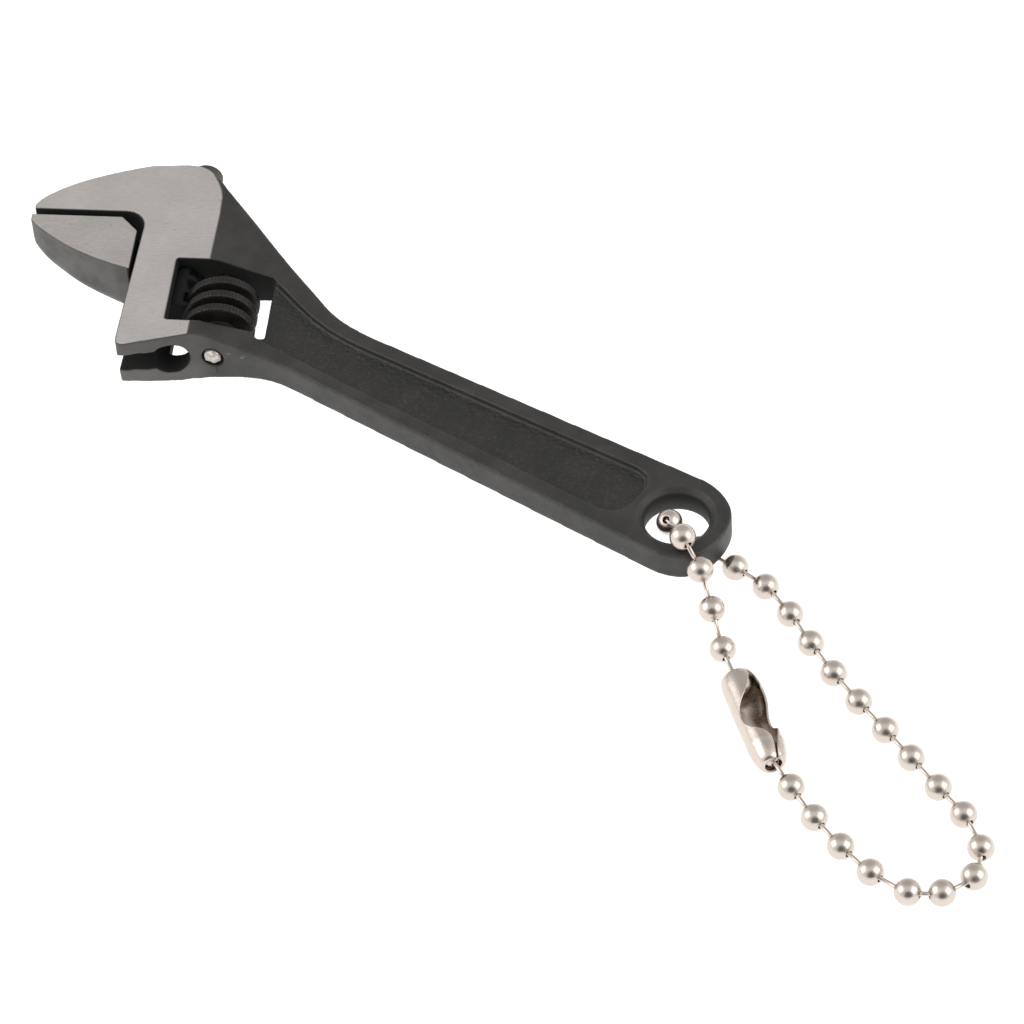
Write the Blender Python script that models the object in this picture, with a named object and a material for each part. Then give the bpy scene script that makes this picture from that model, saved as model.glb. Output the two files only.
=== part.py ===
"""A mini adjustable wrench on a ball chain, as separate pieces.

Row frame: metres, +Z up, +X from the jaws to the hang hole, origin at the
bottom centre of the wrench. Two plan frames help: the handle frame has its
origin at the handle's round end, and the jaw frame has u along the jaws,
towards the handle, and v across them, from the movable to the fixed jaw.
"""

import math

import bmesh
import bpy
from mathutils import Matrix, Vector

MM = 0.001
OBJECT = "mini_adjustable_wrench"

# Driving dimensions, in millimetres.
HANDLE_ORIGIN = (29.15, -1.94)     # handle frame's origin in the row frame
JAW_ORIGIN = (-50.25, 6.04)        # jaw frame's origin in the handle frame
JAW_ANGLE = math.radians(29.0)     # jaws to handle

MID_Z = 2.9                        # the wrench's middle plane
HEAD_THICK = 5.0
HANDLE_THICK = 2.4
NECK_START_U = 1.9                 # where the ground head ends
NECK_END_U = 8.8                   # where the handle's thickness begins
HANG_HOLE = (-0.5, 0.05)
HANG_HOLE_R = 2.45
HANG_CHAMFER = {"top": 0.6, "bottom": 0.3}
PANEL_DEPTH = 0.5

NEAR_CORNER = (1.27, -13.52)       # the head's near edge meets the neck here
WINDOW = [(-0.7, -11.9), (7.0, -11.9), (7.0, -5.8), (2.6, -5.1), (-0.7, -5.1)]
RACK_U = -0.2                      # axis of the rack and its bore
BORE_R = 1.47
SLOT_HALF = 0.95                   # the web's slot, half its height
PIN_U = 3.1                        # worm axis
PIN_HOLE_R = 0.85
PIN_R = 0.80
PIN_V = (-13.85, -3.4)

JAW_THICK = 4.9
JAW_GAP = 0.55                     # how far the jaws stand open at rest
ROD_R = 1.3
ROD_V = (-9.1, 7.3)
ROD_END = 0.35                     # chamfer at the far end
WEB_HALF = 0.8
WEB_V = (-6.2, -1.9)
JAW_SIDE = [(-4.35, -6.45), (-5.8, -5.95), (-7.6, -5.2), (-9.4, -4.25), (-11.0, -3.15),
            (-12.35, -2.05), (-13.1, -1.2), (-13.2, -0.95)]
JAW_ROUND_R = (1.0, 3.1)           # the lower edge's radius, beside the head and at the tip

WORM_PITCH = 1.5
WORM_CREST_R = 2.9
WORM_ROOT_R = 1.55
WORM_BORE_R = 0.88
WORM_THREAD_V = (-11.6, -6.9)
WORM_HUB_V = (-11.7, -5.8)
WORM_MESH_V = -9.6                 # a thread crest meets the rack here
RACK_GROOVE = 1.0                  # groove width along the rack
RACK_FLOOR_U = 0.1
RACK_FIRST, RACK_LAST = 1, 7       # grooves, counted from WORM_MESH_V

BEAD_R = 1.0
BEAD_WALL = 0.15
BEAD_HOLE_R = 0.36
LINK_R = 0.16
LINK_LENGTH = 2.0
CLASP_R = 1.38
CLASP_WALL = 0.2
CLASP_PAST = (0.46, 1.15)          # the clasp's reach past its two beads' centres
CLASP_ROLL = 10.0                  # degrees that the slot leans from straight up

# Bead centres in the handle frame, from the clasp round the loop, in through
# the hang hole from below, over the near rim and back to the clasp.
ROUTE = [
    (16.64, -14.10, 1.42), (19.48, -15.58, 1.00), (22.38, -17.07, 1.00), (25.36, -18.30, 1.00),
    (28.36, -19.17, 1.00), (31.50, -19.28, 1.00), (33.58, -18.06, 1.00), (34.73, -15.60, 1.00),
    (33.80, -13.11, 1.00), (31.20, -11.15, 1.00), (28.38, -9.96, 1.00), (25.32, -8.64, 1.00),
    (22.38, -7.40, 1.00), (19.33, -6.12, 1.00), (16.32, -4.76, 1.00), (13.37, -3.18, 1.00),
    (10.54, -1.56, 1.00), (7.53, -0.21, 1.00), (4.58, 0.20, 1.00), (1.30, 0.40, 1.00),
    (-0.79, -0.50, 3.55), (1.68, -2.42, 5.13), (3.80, -3.34, 3.62), (5.86, -4.98, 2.00),
    (8.18, -7.12, 1.00), (11.09, -9.59, 1.42),
]

COLOURS = {
    "black_oxide": ((0.045, 0.044, 0.042), 0.55, 0.6),
    "ground_steel": ((0.42, 0.41, 0.39), 0.45, 0.9),
    "worm_black": ((0.03, 0.028, 0.026), 0.45, 0.7),
    "bright_steel": ((0.60, 0.59, 0.57), 0.35, 1.0),
    "nickel": ((0.66, 0.62, 0.57), 0.25, 1.0),
}


# ---------------------------------------------------------------- frames

def handle_point(x, y, z=0.0):
    """A point of the handle frame in the row frame, in metres."""
    return Vector((x + HANDLE_ORIGIN[0], y + HANDLE_ORIGIN[1], z)) * MM


def jaw_to_handle(u, v):
    """A plan point of the jaw frame in the handle frame, in millimetres."""
    x = JAW_ORIGIN[0] + u * math.cos(JAW_ANGLE) - v * math.sin(JAW_ANGLE)
    y = JAW_ORIGIN[1] + u * math.sin(JAW_ANGLE) + v * math.cos(JAW_ANGLE)
    return (x, y)


def jaw_matrix():
    """The jaw frame's u, v and Z axes, with its origin on the floor."""
    place = Matrix.Translation(handle_point(*JAW_ORIGIN))
    return place @ Matrix.Rotation(JAW_ANGLE, 4, "Z")


def handle_matrix():
    return Matrix.Translation(handle_point(0.0, 0.0))


def v_axis_matrix(u, v):
    """A frame whose Z runs along v through (u, v) at the middle plane."""
    place = Matrix.Translation(Vector((u, v, MID_Z)) * MM)
    return jaw_matrix() @ place @ Matrix.Rotation(math.radians(-90.0), 4, "X")


# ---------------------------------------------------------------- tools

def clear_scene():
    for item in list(bpy.data.objects):
        bpy.data.objects.remove(item, do_unlink=True)


def new_collection(name):
    group = bpy.data.collections.new(name)
    bpy.context.scene.collection.children.link(group)
    return group


def link_object(name, data, group, matrix=None):
    item = bpy.data.objects.new(name, data)
    group.objects.link(item)
    if matrix is not None:
        item.matrix_world = matrix
    return item


def make_material(name):
    colour, rough, metal = COLOURS[name]
    mat = bpy.data.materials.new(name)
    mat.use_nodes = True
    shader = mat.node_tree.nodes["Principled BSDF"]
    shader.inputs["Base Color"].default_value = (*colour, 1.0)
    shader.inputs["Roughness"].default_value = rough
    shader.inputs["Metallic"].default_value = metal
    return mat


def smooth_run(points, per_span=4):
    """A smooth curve through the points, as a Catmull-Rom spline."""
    result = []
    for i in range(1, len(points) - 2):
        p0, p1, p2, p3 = (Vector(p) for p in points[i - 1:i + 3])
        for k in range(per_span):
            t = k / per_span
            a = 2 * p1 + (p2 - p0) * t
            b = (2 * p0 - 5 * p1 + 4 * p2 - p3) * t * t
            c = (3 * p1 - p0 - 3 * p2 + p3) * t ** 3
            result.append(tuple((a + b + c) * 0.5))
    result.append(tuple(points[-2]))
    return result


def arc(centre, radius, start_deg, end_deg, steps):
    points = []
    for i in range(steps + 1):
        angle = math.radians(start_deg + (end_deg - start_deg) * i / steps)
        points.append((centre[0] + radius * math.cos(angle), centre[1] + radius * math.sin(angle)))
    return points


def curve_to_mesh(item, group):
    """Swap a curve object for a mesh object with welded caps."""
    bpy.context.view_layer.update()
    graph = bpy.context.evaluated_depsgraph_get()
    mesh = bpy.data.meshes.new_from_object(item.evaluated_get(graph))
    work = bmesh.new()
    work.from_mesh(mesh)
    bmesh.ops.remove_doubles(work, verts=work.verts, dist=1e-7)
    bmesh.ops.recalc_face_normals(work, faces=work.faces)
    work.to_mesh(mesh)
    work.free()
    name, matrix = item.name, item.matrix_world.copy()
    bpy.data.objects.remove(item, do_unlink=True)
    return link_object(name, mesh, group, matrix)


def plate(name, outline, z_low, z_high, group, matrix):
    """A flat outline, in millimetres, made into a plate between two heights."""
    curve = bpy.data.curves.new(name, "CURVE")
    curve.dimensions = "2D"
    curve.fill_mode = "BOTH"
    curve.extrude = (z_high - z_low) / 2 * MM
    spline = curve.splines.new("POLY")
    spline.points.add(len(outline) - 1)
    for point, (x, y) in zip(spline.points, outline):
        point.co = (x * MM, y * MM, 0.0, 1.0)
    spline.use_cyclic_u = True
    lift = Matrix.Translation((0.0, 0.0, (z_low + z_high) / 2 * MM))
    item = link_object(name, curve, group, matrix @ lift)
    return curve_to_mesh(item, group)


def box(name, low, high, group, matrix):
    """A box between two corners, in millimetres."""
    mesh = bpy.data.meshes.new(name)
    work = bmesh.new()
    bmesh.ops.create_cube(work, size=1.0)
    size = [(b - a) * MM for a, b in zip(low, high)]
    centre = [(a + b) / 2 * MM for a, b in zip(low, high)]
    bmesh.ops.transform(work, verts=work.verts, matrix=Matrix.Diagonal((*size, 1.0)))
    bmesh.ops.translate(work, verts=work.verts, vec=centre)
    work.to_mesh(mesh)
    work.free()
    return link_object(name, mesh, group, matrix)


def cylinder(name, radius, low, high, group, matrix, sides=32, radius_high=None):
    """A cylinder or cone along local Z between two heights, in millimetres."""
    mesh = bpy.data.meshes.new(name)
    work = bmesh.new()
    top = radius if radius_high is None else radius_high
    bmesh.ops.create_cone(work, cap_ends=True, segments=sides, radius1=radius * MM,
                          radius2=top * MM, depth=(high - low) * MM)
    bmesh.ops.translate(work, verts=work.verts, vec=(0.0, 0.0, (low + high) / 2 * MM))
    work.to_mesh(mesh)
    work.free()
    return link_object(name, mesh, group, matrix)


def turned_mesh(name, profile, steps):
    """A closed profile of (radius, z), in millimetres, turned about Z."""
    mesh = bpy.data.meshes.new(name)
    work = bmesh.new()
    corners = [work.verts.new((r * MM, 0.0, z * MM)) for r, z in profile]
    edges = [work.edges.new((a, b)) for a, b in zip(corners, corners[1:] + corners[:1])]
    bmesh.ops.spin(work, geom=corners + edges, cent=(0, 0, 0), axis=(0, 0, 1),
                   angle=2 * math.pi, steps=steps, use_merge=True)
    bmesh.ops.remove_doubles(work, verts=work.verts, dist=1e-7)
    bmesh.ops.recalc_face_normals(work, faces=work.faces)
    work.to_mesh(mesh)
    work.free()
    return mesh


def boolean(item, tool, operation="DIFFERENCE"):
    modifier = item.modifiers.new(tool.name, "BOOLEAN")
    modifier.operation = operation
    modifier.solver = "EXACT"
    modifier.object = tool
    tool.hide_render = True
    tool.display_type = "WIRE"


def finish_piece(item, material):
    item.data.materials.clear()
    item.data.materials.append(material)


# ---------------------------------------------------------------- wrench body

def jaw_line(points):
    return [jaw_to_handle(u, v) for u, v in points]


def body_outline():
    """The fixed jaw, head and handle from above, in the handle frame."""
    front = [(-12.9, 0.0)] + arc((-5.5, -1.6), 1.6, 90, 0, 5)
    near_corner = [(-4.3, -14.1), (-4.22, -14.6), (-3.95, -14.9), (-3.6, -14.93)]
    near_neck = [jaw_to_handle(0.3, -13.8), jaw_to_handle(*NEAR_CORNER), (-41.54, -4.55), (-40.68, -4.24),
                 (-38.2, -3.52), (-35.4, -3.05), (-32.0, -3.08), (-26.0, -3.3)]
    end = [(-1.9, -3.93), (-0.5, -3.98), (0.4, -3.95), (1.21, -3.78), (2.0, -3.45), (2.65, -2.95),
           (3.2, -2.1), (3.5, -1.0), (3.57, 0.1), (3.42, 1.1), (3.15, 1.95), (2.75, 2.6), (2.1, 3.2),
           (1.2, 3.72), (0.2, 4.05), (-0.6, 4.16), (-1.9, 4.12)]
    far_neck = [(-26.0, 3.35), (-31.0, 3.25), (-34.5, 3.6), (-37.9, 4.95), (-43.65, 7.42),
                jaw_to_handle(4.0, 1.0), jaw_to_handle(2.15, 3.15)]
    far_corner = [(2.15, 3.15), (1.85, 3.6), (1.5, 4.1), (0.95, 4.72), (0.45, 5.2), (-0.2, 5.55),
                  (-1.2, 5.66)]
    crown = [(-1.2, 5.66), (-3.6, 5.55), (-6.6, 4.65), (-9.8, 3.25), (-12.0, 1.75), (-12.95, 0.6),
             (-12.98, 0.15)]
    outline = jaw_line(front) + jaw_line(near_corner)
    outline += smooth_run(near_neck, 4)
    outline += smooth_run(end, 2)
    outline += smooth_run(far_neck, 4)
    outline += jaw_line(far_corner)
    outline += jaw_line(smooth_run(crown, 5)[1:]) + jaw_line([(-12.98, 0.15)])
    return outline


def neck_profile(sign):
    """The relief beside the middle plane, in (u, z): head height to handle height."""
    head = HEAD_THICK / 2
    handle = HANDLE_THICK / 2
    points = []
    steps = 8
    for i in range(steps + 1):
        t = i / steps
        drop = math.sin(t * math.pi / 2) ** 1.35
        u = NECK_START_U + (NECK_END_U - NECK_START_U) * t
        points.append((u, sign * (head + (handle - head) * drop)))
    points += [(60.0, sign * handle), (60.0, sign * (head + 1.0)), (NECK_START_U, sign * (head + 1.0))]
    return points


def add_neck_reliefs(body, cutters):
    """Cut the handle down from the head's thickness on both faces."""
    for side, sign in (("top", 1), ("bottom", -1)):
        turn = Matrix.Rotation(math.radians(90.0), 4, "X")
        place = jaw_matrix() @ Matrix.Translation((0.0, 0.0, MID_Z * MM)) @ turn
        tool = plate(f"neck_relief_{side}", neck_profile(sign), -60.0, 60.0, cutters, place)
        boolean(body, tool)


def add_near_face(body, cutters):
    """The head's near face leans in towards its lower edge, most of all at the jaw side."""
    low, high = MID_Z - HEAD_THICK / 2, MID_Z + HEAD_THICK / 2
    mesh = bpy.data.meshes.new("near_face")
    work = bmesh.new()
    rings = []
    for u, below in ((-5.0, -14.06), (-3.6, -14.05), (-2.0, -13.99), (-0.5, -13.85), (0.5, -13.76),
                     (1.33, -13.55)):
        above = NEAR_CORNER[1] - 0.03 + 0.2895 * (u - NEAR_CORNER[0])
        lean = (below - above) * 0.1
        ring = [(u, above - lean, high + 0.5), (u, below + lean, low - 0.5), (u, -18.0, low - 0.5),
                (u, -18.0, high + 0.5)]
        rings.append([work.verts.new((x * MM, y * MM, z * MM)) for x, y, z in ring])
    for first, second in zip(rings, rings[1:]):
        for i in range(4):
            j = (i + 1) % 4
            work.faces.new((first[i], first[j], second[j], second[i]))
    work.faces.new(rings[0])
    work.faces.new(rings[-1])
    bmesh.ops.triangulate(work, faces=work.faces)
    bmesh.ops.recalc_face_normals(work, faces=work.faces)
    work.to_mesh(mesh)
    work.free()
    boolean(body, link_object("near_face", mesh, cutters, jaw_matrix()))


def panel_outline():
    """The handle's sunk panel, from the worm window to a round end."""
    far = [(-44.5, 6.2), (-41.3, 4.35), (-39.6, 3.75), (-36.2, 2.55), (-32.8, 1.98), (-28.9, 1.98),
           (-20.0, 2.2)]
    end_far = [(-5.6, 2.55), (-4.6, 2.25), (-4.05, 1.3), (-4.0, 0.0)]
    end_near = [(-4.2, -1.2), (-4.8, -2.1), (-5.8, -2.4)]
    near = [(-20.0, -2.08), (-28.9, -1.95), (-33.0, -1.8), (-36.6, -1.7), (-38.8, -1.75),
            (-41.0, -2.2)]
    left = [jaw_to_handle(6.5, -11.2), jaw_to_handle(6.5, -6.3)]
    outline = smooth_run(far, 2)[:-1] + [(-20.0, 2.2)] + end_far + end_near
    outline += smooth_run([near[0], *near], 2)
    return outline + left


def add_panels(body, cutters):
    """Sink the panel into the handle's two faces."""
    face = HANDLE_THICK / 2
    outline = panel_outline()
    for side, sign in (("top", 1), ("bottom", -1)):
        inner = MID_Z + sign * (face - PANEL_DEPTH)
        outer = MID_Z + sign * (face + 2.0)
        tool = plate(f"panel_{side}", outline, min(inner, outer), max(inner, outer), cutters,
                     handle_matrix())
        boolean(body, tool)


def add_hang_hole(body, cutters):
    """A round hole with chamfered rims, cut in one go."""
    face = HANDLE_THICK / 2
    above, below = HANG_CHAMFER["top"], HANG_CHAMFER["bottom"]
    profile = [(0.0, -face - 0.6), (HANG_HOLE_R + below + 0.6, -face - 0.6), (HANG_HOLE_R, below - face),
               (HANG_HOLE_R, face - above), (HANG_HOLE_R + above + 0.6, face + 0.6), (0.0, face + 0.6)]
    place = Matrix.Translation(handle_point(*HANG_HOLE, MID_Z))
    boolean(body, link_object("hang_hole", turned_mesh("hang_hole", profile, 40), cutters, place))


def make_body(parts, cutters):
    low = MID_Z - HEAD_THICK / 2
    high = MID_Z + HEAD_THICK / 2
    body = plate("wrench_body", body_outline(), low, high, parts, handle_matrix())
    add_neck_reliefs(body, cutters)
    frame = jaw_matrix()
    boolean(body, plate("worm_window", WINDOW, -2.0, 8.0, cutters, frame))
    boolean(body, box("web_slot", (-6.0, -17.0, MID_Z - SLOT_HALF), (-0.3, -0.75, MID_Z + SLOT_HALF),
                      cutters, frame))
    boolean(body, cylinder("rack_bore", BORE_R, -17.0, 9.0, cutters, v_axis_matrix(RACK_U, 0.0), 28))
    boolean(body, cylinder("pin_hole", PIN_HOLE_R, -17.0, PIN_V[1] + 0.15, cutters,
                           v_axis_matrix(PIN_U, 0.0), 20))
    add_near_face(body, cutters)
    add_panels(body, cutters)
    add_hang_hole(body, cutters)
    finish_piece(body, make_material("black_oxide"))
    return body


# ---------------------------------------------------------------- movable jaw

def movable_jaw_outline():
    face = -JAW_GAP
    outline = [(-13.1, face), (-5.75, face), (-4.35, -2.1), JAW_SIDE[0]]
    return outline + smooth_run(JAW_SIDE, 3)


def jaw_rounding_tool(cutters):
    """What the movable jaw keeps: its lower outer edge is rounded, most of all at the tip."""
    bottom = MID_Z - JAW_THICK / 2
    start, end = Vector(JAW_SIDE[0]), Vector(JAW_SIDE[-1])
    inward = (end - start).normalized().orthogonal()
    side = [Vector(p) for p in [JAW_SIDE[0], *smooth_run(JAW_SIDE, 3)]]
    heights = [-2.0] + [bottom + JAW_ROUND_R[1] * k / 8 for k in range(9)] + [9.0]
    mesh = bpy.data.meshes.new("jaw_rounding")
    work = bmesh.new()
    rings = []
    for z in heights:
        ring = []
        for i, point in enumerate(side):
            radius = JAW_ROUND_R[0] + (JAW_ROUND_R[1] - JAW_ROUND_R[0]) * i / (len(side) - 1)
            left = min(max(radius - (z - bottom), 0.0), radius)
            inset = radius - math.sqrt(radius ** 2 - left ** 2)
            ring.append(point - inward * (inset if i else 0.0))
        beyond = ring[-1] + (end - start).normalized() * 4.0
        ring += [beyond, Vector((-16.0, 12.0)), Vector((4.0, 12.0)), Vector((4.0, -6.45))]
        rings.append([work.verts.new((p.x * MM, p.y * MM, z * MM)) for p in ring])
    for low, high in zip(rings, rings[1:]):
        for i in range(len(low)):
            j = (i + 1) % len(low)
            work.faces.new((low[i], low[j], high[j], high[i]))
    work.faces.new(rings[0])
    work.faces.new(rings[-1])
    bmesh.ops.recalc_face_normals(work, faces=work.faces)
    work.to_mesh(mesh)
    work.free()
    return link_object("jaw_rounding", mesh, cutters, jaw_matrix())


def make_movable_jaw(parts, cutters):
    """The jaw plate, its thin web and the round rack, forged as one piece."""
    frame = jaw_matrix()
    half = JAW_THICK / 2
    jaw = plate("movable_jaw", movable_jaw_outline(), MID_Z - half, MID_Z + half, parts, frame)
    boolean(jaw, jaw_rounding_tool(cutters), "INTERSECT")
    web = box("jaw_web", (-5.0, WEB_V[0], MID_Z - WEB_HALF), (-0.9, WEB_V[1], MID_Z + WEB_HALF),
              cutters, frame)
    boolean(jaw, web, "UNION")
    axis = v_axis_matrix(RACK_U, 0.0)
    profile = [(0.0, ROD_V[1]), (ROD_R - ROD_END, ROD_V[1]), (ROD_R, ROD_V[1] - ROD_END),
               (ROD_R, ROD_V[0]), (0.0, ROD_V[0])]
    rod = link_object("jaw_rack_rod", turned_mesh("jaw_rack_rod", profile, 28), cutters, axis)
    boolean(jaw, rod, "UNION")
    for i in range(RACK_FIRST, RACK_LAST + 1):
        centre = WORM_MESH_V + i * WORM_PITCH
        groove = box(f"rack_groove_{i + 1 - RACK_FIRST:02d}",
                     (RACK_FLOOR_U, centre - RACK_GROOVE / 2, MID_Z - 2.0),
                     (2.0, centre + RACK_GROOVE / 2, MID_Z + 2.0), cutters, frame)
        boolean(jaw, groove)
    finish_piece(jaw, make_material("ground_steel"))
    return jaw


# ---------------------------------------------------------------- worm and pin

def thread_mesh(steps_per_turn=20):
    """One right-handed thread ridge about Z, longer than the worm at both ends."""
    turns = math.ceil((WORM_THREAD_V[1] - WORM_THREAD_V[0]) / WORM_PITCH) + 2
    mid = (WORM_THREAD_V[0] + WORM_THREAD_V[1]) / 2
    section = [(WORM_ROOT_R - 0.3, -0.48), (WORM_CREST_R, -0.24), (WORM_CREST_R, 0.24),
               (WORM_ROOT_R - 0.3, 0.48)]
    steps = turns * steps_per_turn
    start = WORM_MESH_V - WORM_PITCH * round((WORM_MESH_V - mid) / WORM_PITCH + turns / 2)
    mesh = bpy.data.meshes.new("thread")
    work = bmesh.new()
    # The ridge meets the rack, at minus u, on whole turns.
    corners = [work.verts.new((-r * MM, 0.0, (start + z) * MM)) for r, z in section]
    face = work.faces.new(corners)
    bmesh.ops.spin(work, geom=[face], cent=(0, 0, 0), axis=(0, 0, 1),
                   dvec=(0, 0, turns * WORM_PITCH * MM / steps),
                   angle=2 * math.pi * turns, steps=steps)
    bmesh.ops.holes_fill(work, edges=[e for e in work.edges if e.is_boundary], sides=4)
    bmesh.ops.recalc_face_normals(work, faces=work.faces)
    work.to_mesh(mesh)
    work.free()
    return mesh


def make_worm(parts, cutters):
    """A knurled worm: hub, one thread and a through bore for its pin."""
    axis = v_axis_matrix(PIN_U, 0.0)
    worm = cylinder("worm", WORM_ROOT_R, WORM_HUB_V[0], WORM_HUB_V[1], parts, axis, 24)
    thread = link_object("worm_thread", thread_mesh(), cutters, axis)
    sleeve = cylinder("worm_trim", WORM_CREST_R + 0.5, WORM_THREAD_V[0], WORM_THREAD_V[1], cutters,
                      axis, 24)
    boolean(thread, sleeve, "INTERSECT")
    boolean(worm, thread, "UNION")
    boolean(worm, cylinder("worm_bore", WORM_BORE_R, -15.0, 0.0, cutters, axis, 20))
    finish_piece(worm, make_material("worm_black"))
    return worm


def make_pin(parts):
    pin = cylinder("worm_pin", PIN_R, PIN_V[0], PIN_V[1], parts, v_axis_matrix(PIN_U, 0.0), 20)
    finish_piece(pin, make_material("bright_steel"))
    return pin


# ---------------------------------------------------------------- ball chain

def bead_mesh():
    """A hollow bead with a hole at each end of its Z axis."""
    inner_r = BEAD_R - BEAD_WALL
    outer_edge = math.degrees(math.acos(BEAD_HOLE_R / BEAD_R))
    inner_edge = math.degrees(math.acos(BEAD_HOLE_R / inner_r))
    outer = arc((0.0, 0.0), BEAD_R, outer_edge, -outer_edge, 6)
    inner = arc((0.0, 0.0), inner_r, -inner_edge, inner_edge, 4)
    return turned_mesh("bead", outer + inner, 10)


def chain_axes(centres):
    """Each bead's axis, halfway between its two links."""
    runs = [(b - a).normalized() for a, b in zip(centres, centres[1:])]
    axes = [runs[0]]
    for before, after in zip(runs, runs[1:]):
        axes.append((before + after).normalized())
    return axes + [runs[-1]]


def align_z(position, direction):
    return Matrix.Translation(position) @ direction.to_track_quat("Z", "Y").to_matrix().to_4x4()


def make_chain(parts):
    """Hollow beads on the route, and a short wire between each two."""
    centres = [handle_point(*p) for p in ROUTE]
    axes = chain_axes(centres)
    nickel = make_material("nickel")
    bead_data = bead_mesh()
    bead_data.materials.append(nickel)
    for i, (centre, axis) in enumerate(zip(centres, axes)):
        link_object(f"bead_{i + 1:02d}", bead_data, parts, align_z(centre, axis))
    reach = (BEAD_R - BEAD_WALL / 2) * MM
    wire = cylinder("link_wire", LINK_R, -LINK_LENGTH / 2, LINK_LENGTH / 2, parts,
                    Matrix.Identity(4), 8)
    wire_data = wire.data
    wire_data.materials.append(nickel)
    bpy.data.objects.remove(wire, do_unlink=True)
    for i in range(len(centres) - 1):
        start = centres[i] + axes[i] * reach
        end = centres[i + 1] - axes[i + 1] * reach
        link_object(f"link_{i + 1:02d}", wire_data, parts,
                    align_z((start + end) / 2, (end - start).normalized()))


def clasp_profile(low, high):
    """The tube's wall from end to end: wide at the low end, drawn in at the high end."""
    inner = CLASP_R - CLASP_WALL
    outer_side = [(0.62, high), (0.95, high - 0.05), (1.12, high - 0.35), (1.28, high - 0.9),
                  (CLASP_R, high - 1.6), (CLASP_R, low + 1.2), (1.3, low + 0.3), (1.1, low)]
    inner_side = [(0.93, low), (1.1, low + 0.3), (inner, low + 0.7), (inner, high - 1.6),
                  (1.08, high - 0.95), (0.9, high - 0.27), (0.62, high - 0.22)]
    return outer_side + inner_side


def slot_outline(low, high):
    """The clasp's slot: a leaf-shaped mouth, then a slit towards the high end."""
    left, right = [], []
    steps = 14
    for i in range(steps + 1):
        t = i / steps
        mouth = math.exp(-((t - 0.5) / 0.2) ** 2)
        middle = 0.15 + 0.3 * mouth
        wide = 0.14 + 0.72 * mouth
        along = low - 0.4 + (high - low + 0.8) * t
        left.append((along, middle - wide))
        right.append((along, middle + wide))
    return left + right[::-1]


def make_clasp(parts, cutters):
    """A sheet tube rolled round the chain's two last beads, open along a slot."""
    first, last = (handle_point(*ROUTE[i]) for i in (-1, 0))
    along = (last - first).normalized()
    across = Vector((0.0, 0.0, 1.0)).cross(along)
    tilt = Matrix((along, across, Vector((0.0, 0.0, 1.0)))).transposed().to_4x4()
    centre = Matrix.Translation((first + last) / 2) @ tilt
    reach = (last - first).length / 2 / MM
    low, high = -reach - CLASP_PAST[0], reach + CLASP_PAST[1]
    lie = Matrix.Rotation(math.radians(90.0), 4, "Y")
    clasp = link_object("clasp", turned_mesh("clasp", clasp_profile(low, high), 20), parts,
                        centre @ lie)
    roll = Matrix.Rotation(math.radians(CLASP_ROLL), 4, "X")
    boolean(clasp, plate("clasp_slot", slot_outline(low, high), 0.3, 2.5, cutters, centre @ roll))
    finish_piece(clasp, make_material("nickel"))
    return clasp


def main():
    clear_scene()
    parts = new_collection(OBJECT)
    cutters = new_collection(OBJECT + "_cutters")
    make_body(parts, cutters)
    make_movable_jaw(parts, cutters)
    make_worm(parts, cutters)
    make_pin(parts)
    make_chain(parts)
    make_clasp(parts, cutters)


main()
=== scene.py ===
"""The finished look of a mini adjustable wrench on a ball chain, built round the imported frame.

Named sizes are in millimetres, and MM turns them into the frame's metres. The row frame has +X along
the handle and +Z up. The handle frame has its origin at the handle's round end, and the jaw frame has
u along the jaws, towards the handle, and v across them, from the movable to the fixed jaw.
"""

import math

import bmesh
import bpy
import numpy as np
from mathutils import Matrix, Vector, noise


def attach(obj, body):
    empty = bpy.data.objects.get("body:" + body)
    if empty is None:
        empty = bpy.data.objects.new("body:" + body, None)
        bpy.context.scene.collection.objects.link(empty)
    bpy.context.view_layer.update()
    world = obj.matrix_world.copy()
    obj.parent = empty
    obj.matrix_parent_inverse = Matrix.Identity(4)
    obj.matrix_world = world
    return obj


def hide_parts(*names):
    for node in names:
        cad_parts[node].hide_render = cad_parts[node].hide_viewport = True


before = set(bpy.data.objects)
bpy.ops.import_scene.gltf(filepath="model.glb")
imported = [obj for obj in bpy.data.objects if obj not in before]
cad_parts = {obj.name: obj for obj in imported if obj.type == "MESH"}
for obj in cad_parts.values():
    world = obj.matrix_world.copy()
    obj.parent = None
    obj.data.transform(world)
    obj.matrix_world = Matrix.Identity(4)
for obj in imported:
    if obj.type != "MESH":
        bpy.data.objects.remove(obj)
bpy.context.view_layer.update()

MM = 0.001
HANDLE_ORIGIN = (29.15, -1.94)
JAW_ORIGIN = (-50.25, 6.04)        # in the handle frame
JAW_ANGLE = math.radians(29.0)

MID_Z = 2.9
HEAD_HALF = 2.5
JAW_HALF = 2.45
PANEL_HALF = 0.7                   # the sunk panel's floor, from the middle plane
HEAD_BACK_U = 1.9                  # the head's full thickness ends here
GROUND_BACK = [(-10.0, 1.27), (-9.9, 1.9), (-4.7, 1.9), (0.0, 1.97), (2.0, 1.9), (2.7, 1.76), (3.4, 1.5),
               (4.1, 1.15), (5.5, 0.4)]      # where the ground face ends: (v, u)
BODY_VOXEL = 0.085
JAW_VOXEL = 0.07
RACK_U = -0.2
BORE_R = 1.47

WORM_U = 3.1
WORM_PITCH = 1.5
WORM_MESH_V = -9.6                 # a crest meets the rack here
WORM_CREST_R = 2.9
WORM_ROOT_R = 1.6
WORM_BORE_R = 0.88
WORM_THREAD_V = (-11.6, -6.9)
WORM_HUB_V = -5.8
WORM_NOTCHES = 62

PIN_R = 0.8
PIN_V = (-13.85, -3.4)

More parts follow.
